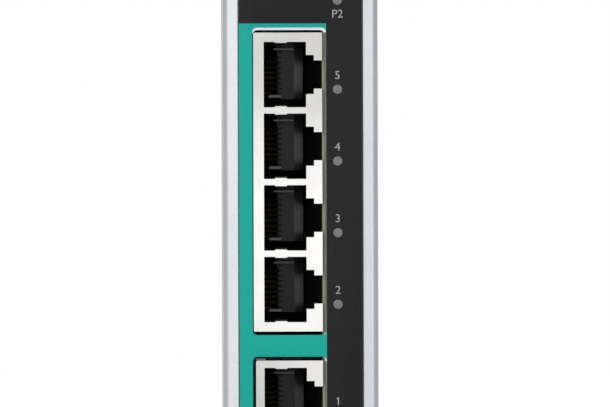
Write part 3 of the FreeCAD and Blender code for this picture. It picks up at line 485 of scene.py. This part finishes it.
def buildLabel(film, grey):
    # the film laps the cut-outs' edges below and beside the jacks and leaves a bare line above the upper four
    sizes = {"corner": 1.2 * mm, "windowCorner": 0.9 * mm, "left": 2.6 * mm, "right": 17.03 * mm,
             "windows": [(6.4 * mm, 23.7 * mm), (27.95 * mm, 87.88 * mm)], "shadeStrip": 0.31 * mm,
             "past": 1 * mm, "sunk": 0.02 * mm, "edge": 0.04 * mm, "shadeStripEdge": 0.03 * mm}
    label = roundedPlate("printedLabel", labelLow, labelHigh, sizes["corner"])
    strips = []
    for bottom, top in sizes["windows"]:
        low = (labelLow.x + sizes["left"], labelLow.y - sizes["past"], labelLow.z + bottom)
        high = (labelLow.x + sizes["right"], labelHigh.y + sizes["past"], labelLow.z + top)
        carve(label, roundedPlate("window", low, high, sizes["windowCorner"]))
        # a grey strip along each window's right edge is painted shade, standing for the shaded edge of the
        # cut-out there
        strips.append(boxPiece("shadeStrip", (high[0] - sizes["shadeStrip"], labelLow.y + sizes["sunk"], low[2]),
                               (high[0], labelHigh.y, high[2] - sizes["windowCorner"])))
    softenEdges(label, sizes["edge"], 60)
    finishPiece(label, film, ["front_label"])
    lines = joinPieces(strips, "windowShadeStrips")
    softenEdges(lines, sizes["shadeStripEdge"])
    finishPiece(lines, grey)


def addUpstroke(mark, film):
    # the font's 1 is a bare bar, so its short upstroke is added at the top
    sizes = {"long": 0.46 * mm, "thick": 0.19 * mm, "lean": 38, "inwards": 0.26 * mm, "down": 0.22 * mm}
    right = max(vert.co.x for vert in mark.data.vertices)
    top = max(vert.co.y for vert in mark.data.vertices)
    half = Vector((sizes["long"], sizes["thick"], 0.9 * film)) / 2
    stroke = boxPiece("upstroke", -half, half)
    stroke.rotation_euler = (0, 0, math.radians(sizes["lean"]))
    stroke.location = (right - sizes["inwards"], top - sizes["down"], 0)
    applyPlace(stroke)
    return joinPieces([mark, stroke], "mark")


def buildPrintedMarks(ink):
    # a digit above each port's light, and a mark below each power light
    sizes = {"height": 1.65 * mm, "heightOfFont": 0.73, "film": 0.02 * mm, "aboveLight": 2.72 * mm,
             "belowLight": 2.75 * mm}
    x, portLights, powerLights = lightPlaces()
    marks = [(str(n + 1), z + sizes["aboveLight"]) for n, z in enumerate(portLights)]
    marks += [(text, z - sizes["belowLight"]) for text, z in zip(("P2", "P1"), powerLights)]
    pieces = []
    for text, z in marks:
        deselectAll()
        bpy.ops.object.text_add(location=(0, 0, 0))
        mark = bpy.context.object
        mark.data.body = text
        mark.data.size = sizes["height"] / sizes["heightOfFont"]
        mark.data.align_x = "CENTER"
        mark.data.align_y = "CENTER"
        mark.data.extrude = sizes["film"] / 2
        bpy.ops.object.convert(target="MESH")
        mark = bpy.context.object
        if text.endswith("1"):
            mark = addUpstroke(mark, sizes["film"])
        mark.rotation_euler = facing["-y"]
        mark.location = (x, labelLow.y - sizes["film"] / 2, z)
        applyPlace(mark)
        pieces.append(mark)
    finishPiece(joinPieces(pieces, "printedNumbers"), ink)


def buildLightWindows(frosted):
    # a clear domed dot in the film over the end of each light pipe
    sizes = {"radius": 0.9 * mm, "rise": 0.06 * mm, "edge": 0.01 * mm, "sunk": 0.05 * mm}
    dome = [(0.93, 0.6), (0.7, 0.9), (0.3, 1)]    # shares of the radius and of the rise
    x, portLights, powerLights = lightPlaces()
    rings = [(sizes["radius"], -sizes["sunk"]), (sizes["radius"], sizes["edge"])]
    rings += [(sizes["radius"] * wide, sizes["rise"] * up) for wide, up in dome]
    window = turnedShape("lightWindow", rings)
    copies = [placeCopy(window, "window", (x, labelLow.y, z), facing["-y"]) for z in portLights + powerLights]
    bpy.data.objects.remove(window)
    finishPiece(joinPieces(copies, "lightWindows"), frosted)


# the grey of the strips beside the windows is painted shade
buildLabel(printedFilm(), mouldedPlastic("paintedShadeGrey", "#68686A", "#7C7C7C", 0.5, 0.2 * mm, 0.2))
buildPrintedMarks(whiteInk())
buildLightWindows(frostedAcrylic())

print("jacks")


def cornersOf(form, origin):
    # two opposite corners of a box: x from the block's board side, y from its front, z from the jack's middle
    return [Vector([start + form[axis][n] for axis, start in zip("xyz", origin)]) for n in (0, 1)]


def slopedPocket(low, high, lean, towards):
    # cutter of a pocket whose rear wall leans: it is shallower by lean on the side that towards points to
    cutter = boxPiece("pocket", low, high)
    middle = (low + high) / 2
    editVerts(cutter, lambda corner: corner.y > middle.y and (corner - middle).dot(Vector(towards)) > 0)
    bpy.ops.transform.translate(value=(0, -lean, 0))
    bpy.ops.object.mode_set(mode="OBJECT")
    return cutter


def buildJackHousings(plastic):
    # the moulded blocks again, with the sloped pockets below the comb and behind the contact wires
    pockets = [{"x": (-8.7 * mm, -3.13 * mm), "y": (11 * mm, 13.6 * mm), "z": (-6.34 * mm, -4.62 * mm),
                "lean": 1.8 * mm, "towards": (0, 0, 1)},
               {"x": (-11.33 * mm, -8.65 * mm), "y": (13.8 * mm, 17 * mm), "z": (-6.34 * mm, 6.34 * mm),
                "lean": 2.9 * mm, "towards": (1, 0, 0)},
               {"x": (-8.75 * mm, -7.6 * mm), "y": (13.5 * mm, 17 * mm), "z": (-6.34 * mm, -4.6 * mm),
                "lean": 2.9 * mm, "towards": (1, 0, 0)}]
    for node, name, middles in (("single_jack_housing", "singleHousing", jackMiddles()[:1]),
                                ("quad_jack_housing", "quadHousing", jackMiddles()[1:])):
        low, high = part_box(node)
        housing = placeCopy(nodes[node], name)
        mergeDoubles(housing, 0.001 * mm)
        for middle in middles:
            for pocket in pockets:
                corners = cornersOf(pocket, (high.x, low.y, middle))
                carve(housing, slopedPocket(*corners, pocket["lean"], pocket["towards"]))
        finishPiece(housing, plastic, [node], smooth=0)


def buildJackRibs(plastic):
    # polished ribs left by the mould: one over the ledge at the comb's low end, one under the jack's roof
    ribs = [{"x": (-10.38 * mm, -7.93 * mm), "y": (5.2 * mm, 6.9 * mm), "z": (-4.4 * mm, -3.88 * mm),
             "corner": 0.22 * mm},
            {"x": (-9.4 * mm, -5.4 * mm), "y": (9.6 * mm, 11.5 * mm), "z": (5.02 * mm, 5.34 * mm),
             "corner": 0.14 * mm}]
    low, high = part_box("quad_jack_housing")
    pieces = []
    for middle in jackMiddles():
        for rib in ribs:
            pieces.append(roundedPlate("rib", *cornersOf(rib, (high.x, low.y, middle)), rib["corner"]))
    finishPiece(joinPieces(pieces, "jackRibs"), plastic)


buildJackHousings(blackPbt)
buildJackRibs(mouldedPlastic("polishedPbt", "#0E0E10", "#1A1A1C", 0.24, 0.2 * mm, 0.38))

print("screws")


def flatHead(radius, shank):
    # countersunk head with its top at height 0: a thin rim, then a cone down to the shank
    edge, rim = 0.06 * mm, 0.1 * mm
    return [(radius - edge, 0), (radius, -edge), (radius, -rim), (shank, -rim - (radius - shank))]


def panHead(radius, shank, height):
    # raised head with its top at height 0: a rounded top, a straight side, then the shank
    dome = [(0.62, 0), (0.86, 0.07), (0.97, 0.2), (1, 0.34)]    # width and depth as shares of the radius
    underside = 0.001 * mm    # flat, but a ring has to lie lower than the one before
    rings = [(radius * wide, -radius * deep) for wide, deep in dome]
    return rings + [(radius, -height), (shank, -height - underside)]


def crossRecess(reach):
    # the two bars of a cross-head driver, tapered downwards, their mouth just above height 0
    width, depth, taper, above = reach * 0.22, reach * 0.8, 0.55, 0.1 * mm
    bars = []
    for long, short in ((reach, width), (width, reach)):
        bar = boxPiece("bar", (-long, -short, -depth), (long, short, above))
        editVerts(bar, lambda corner: corner.z < 0)
        bpy.ops.transform.resize(value=(taper, taper, 1), center_override=(0, 0, -depth))
        bpy.ops.object.mode_set(mode="OBJECT")
        bars.append(bar)
    return bars


def crossScrew(head, shank, length, recess):
    # the rings of the head come first, then those of the shank and its tip
    tip, softEdge = 0.3 * shank, 0.03 * mm
    screw = turnedShape("screw", head + [(shank, tip - length), (shank - tip, -length)])
    for bar in crossRecess(recess):
        carve(screw, bar)
    softenEdges(screw, softEdge)
    return screw


def setScrews(source, name, places, turn, node):
    for count, place in enumerate(places):
        copy = placeCopy(source, f"{name}{count + 1}", place, turn)
        finishPiece(copy, zinc, [node])
    bpy.data.objects.remove(source)


smallScrew = {"shank": 1.25 * mm, "recess": 1.2 * mm}     # M2.5


def buildCoverScrews():
    # countersunk M2.5, two in each side
    length = 5 * mm
    low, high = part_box("cover_screws")
    head = (high.y - low.y) / 2
    middle = (low.y + high.y) / 2
    for side, name, x in (("-x", "leftCoverScrew", low.x), ("+x", "rightCoverScrew", high.x)):
        rings = flatHead(head, smallScrew["shank"])
        screw = crossScrew(rings, smallScrew["shank"], length, smallScrew["recess"])
        places = [(x, middle, low.z + head), (x, middle, high.z - head)]
        setScrews(screw, name, places, facing[side], "cover_screws")


def buildClipScrews():
    # countersunk M2.5 beside the latch, heads sunk in the clip's rail face
    low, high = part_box("clip_screws")
    head = (high.z - low.z) / 2
    rings = flatHead(head, smallScrew["shank"])
    screw = crossScrew(rings, smallScrew["shank"], high.y - low.y, smallScrew["recess"])
    places = [(x, high.y, (low.z + high.z) / 2) for x in (low.x + head, high.x - head)]
    setScrews(screw, "clipScrew", places, facing["+y"], "clip_screws")


def buildBoardScrews():
    # M2.5 pan heads on the left face of the board: front top, rear bottom, rear top
    sizes = {"head": 2.3 * mm, "headHeight": 1.6 * mm, "rearSpacing": 76 * mm}
    low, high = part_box("board_screws")
    head = sizes["head"]
    places = [(low.x, low.y + head, high.z - head), (low.x, high.y - head, low.z + head),
              (low.x, high.y - head, low.z + head + sizes["rearSpacing"])]
    rings = panHead(head, smallScrew["shank"], sizes["headHeight"])
    screw = crossScrew(rings, smallScrew["shank"], high.x - low.x, smallScrew["recess"])
    setScrews(screw, "boardScrew", places, facing["-x"], "board_screws")


def buildEarthScrew():
    # M4 with a raised head, on the toothed washer
    sizes = {"shank": 2 * mm, "headHeight": 2.4 * mm, "recess": 2 * mm}
    low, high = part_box("earth_screw")
    rings = panHead((high.x - low.x) / 2, sizes["shank"], sizes["headHeight"])
    screw = crossScrew(rings, sizes["shank"], high.z - low.z, sizes["recess"])
    setScrews(screw, "earthScrew", [(0, (low.y + high.y) / 2, high.z)], facing["+z"], "earth_screw")


def buildTerminalScrews():
    # headless slotted screws, just inside the left face of the plug
    sizes = {"pitch": 5.08 * mm, "slot": 0.25 * mm, "deep": 0.7 * mm, "topEdge": 0.15 * mm, "tip": 0.3 * mm,
             "past": 1 * mm, "soft": 0.04 * mm}
    low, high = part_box("terminal_screws")
    length = high.x - low.x
    radius = (high.z - low.z) / 2
    screw = turnedShape("screw", [(radius - sizes["topEdge"], 0), (radius, -sizes["topEdge"]),
                                  (radius, sizes["tip"] - length), (radius - sizes["tip"], -length)])
    carve(screw, boxPiece("slot", (-sizes["slot"], -2 * radius, -sizes["deep"]),
                          (sizes["slot"], 2 * radius, sizes["past"])))
    softenEdges(screw, sizes["soft"])
    places = [(low.x, low.y + radius + sizes["pitch"] * n, (low.z + high.z) / 2) for n in range(4)]
    setScrews(screw, "terminalScrew", places, facing["-x"], "terminal_screws")


buildCoverScrews()
buildClipScrews()
buildBoardScrews()
buildEarthScrew()
buildTerminalScrews()

print("latch spring")


def buildLatchSpring():
    # round-wire compression spring: open turns between closed, nearly flat end turns
    sizes = {"wire": 0.25 * mm, "turns": 7.0, "closedTurns": 1.0, "closedRise": 0.525 * mm, "steps": 24,
             "travel": 3 * mm}
    low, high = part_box("latch_spring")
    wire, turns, closed, rise = sizes["wire"], sizes["turns"], sizes["closedTurns"], sizes["closedRise"]
    radius = (high.x - low.x) / 2 - wire
    middleY = (low.y + high.y) / 2
    bottom, top = low.z + wire, high.z - wire

    def heightAt(turn):
        if turn < closed:
            return bottom + rise * turn / closed
        if turns - turn < closed:
            return top - rise * (turns - turn) / closed
        share = (turn - closed) / (turns - 2 * closed)
        return bottom + rise + (top - bottom - 2 * rise) * share

    deselectAll()
    curve = bpy.data.curves.new("coilSpring", "CURVE")
    curve.dimensions = "3D"
    curve.bevel_depth = wire
    curve.bevel_resolution = 3
    curve.use_fill_caps = True
    spline = curve.splines.new("POLY")
    spline.points.add(int(turns * sizes["steps"]))
    for n, point in enumerate(spline.points):
        turn = n / sizes["steps"]
        angle = 2 * math.pi * turn
        point.co = (radius * math.cos(angle), middleY + radius * math.sin(angle), heightAt(turn), 1)
    spring = bpy.data.objects.new("coilSpring", curve)
    bpy.context.scene.collection.objects.link(spring)
    selectOnly(spring)
    bpy.ops.object.convert(target="MESH")
    spring = bpy.context.object
    finishPiece(spring, springSteel, ["latch_spring"], smooth=60)
    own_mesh(spring)


buildLatchSpring()

print("stage")

plainWhite = srgbToLinear("#FFFFFF")


def seenRays(tree):
    # 1 for the rays that show the surroundings: straight to the camera, mirrored, or through clear plastic
    path = addNode(tree, "ShaderNodeLightPath")
    direct = addNode(tree, "ShaderNodeMath", {"operation": "MAXIMUM"}, {}, {
        0: path.outputs["Is Camera Ray"], 1: path.outputs["Is Glossy Ray"]})
    seen = addNode(tree, "ShaderNodeMath", {"operation": "MAXIMUM"}, {}, {
        0: direct.outputs[0], 1: path.outputs["Is Transmission Ray"]})
    return seen.outputs[0]


def buildStage():
    # the floor takes the lamps' light and the object's shadow near it, and turns plain white further out
    sizes = {"floor": 6.0, "near": 0.2, "far": 0.75, "nearShare": 0.35, "nearGlow": 1.8}
    deselectAll()
    bpy.ops.mesh.primitive_plane_add(size=sizes["floor"], location=(0, 0, 0))
    floor = bpy.context.object
    floor.name = "studioFloor"
    material, tree, shader, place = newMaterial("paleFloor", {
        "Base Color": srgbToLinear("#F1F1F1"), "Roughness": 0.9, "Specular IOR Level": 0.1})
    reach = addNode(tree, "ShaderNodeVectorMath", {"operation": "LENGTH"}, links={0: place})
    plain = addNode(tree, "ShaderNodeMapRange", values={
        "From Min": sizes["near"], "From Max": sizes["far"], "To Min": sizes["nearShare"]},
        links={"Value": reach.outputs["Value"]})
    glow = addNode(tree, "ShaderNodeMapRange", values={
        "From Min": sizes["near"], "From Max": sizes["far"], "To Min": sizes["nearGlow"]},
        links={"Value": reach.outputs["Value"]})
    share = addNode(tree, "ShaderNodeMath", {"operation": "MULTIPLY"}, {}, {
        0: seenRays(tree), 1: plain.outputs[0]})
    white = addNode(tree, "ShaderNodeEmission", values={"Color": plainWhite},
                    links={"Strength": glow.outputs[0]})
    blend = addNode(tree, "ShaderNodeMixShader", links={
        "Fac": share.outputs[0], 1: shader.outputs["BSDF"], 2: white.outputs["Emission"]})
    feed(tree, tree.nodes["Material Output"], {"Surface": blend.outputs["Shader"]})
    floor.data.materials.append(material)


def lightWorld():
    # white where it is seen or mirrored, softer where it only lights the object
    levels = {"seen": 1.0, "lighting": 0.5}
    world = bpy.data.worlds.new("softWorld")
    bpy.context.scene.world = world
    world.use_nodes = True
    tree = world.node_tree
    background = tree.nodes["Background"]
    background.inputs["Color"].default_value = plainWhite
    strength = addNode(tree, "ShaderNodeMapRange", values={
        "To Min": levels["lighting"], "To Max": levels["seen"]}, links={"Value": seenRays(tree)})
    feed(tree, background, {"Strength": strength.outputs["Result"]})


def addSoftbox(name, place, size, watts):
    target = Vector((0, 0, 0.055))    # the middle of the case
    deselectAll()
    bpy.ops.object.light_add(type="AREA", location=place)
    lamp = bpy.context.object
    lamp.name = name
    lamp.data.shape = "RECTANGLE"
    lamp.data.size, lamp.data.size_y = size
    lamp.data.energy = watts
    lamp.visible_camera = False
    lamp.rotation_euler = (target - Vector(place)).to_track_quat("-Z", "Y").to_euler()


def addCamera():
    view = {"distance": 1.2, "azimuth": -1.05, "roll": 0.17, "wide": 118.9 * mm, "aimX": 0.82 * mm,
            "aimZ": 55.46 * mm, "sensor": 36, "farthest": 50}
    data = bpy.data.cameras.new("camera")
    camera = bpy.data.objects.new("camera", data)
    bpy.context.scene.collection.objects.link(camera)
    turn = math.radians(view["azimuth"])
    aim = Vector((view["aimX"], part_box("left_cover")[0].y, view["aimZ"]))
    camera.location = aim + view["distance"] * Vector((math.sin(turn), -math.cos(turn), 0))
    camera.rotation_euler = (math.radians(90), math.radians(view["roll"]), turn)
    data.sensor_width = view["sensor"]
    data.lens = view["sensor"] * view["distance"] / view["wide"]
    data.clip_end = view["farthest"]
    bpy.context.scene.camera = camera


buildStage()
lightWorld()
addSoftbox("keySoftbox", (-0.45, -1.1, 0.4), (0.7, 0.7), 3)
addSoftbox("fillSoftbox", (0.345, -1.1, 0.05), (0.14, 0.3), 1.8)
addSoftbox("frontSoftbox", (-0.1, -1.8, 0.02), (1.2, 0.8), 4.4)
addCamera()

bpy.context.scene.view_settings.view_transform = "Standard"
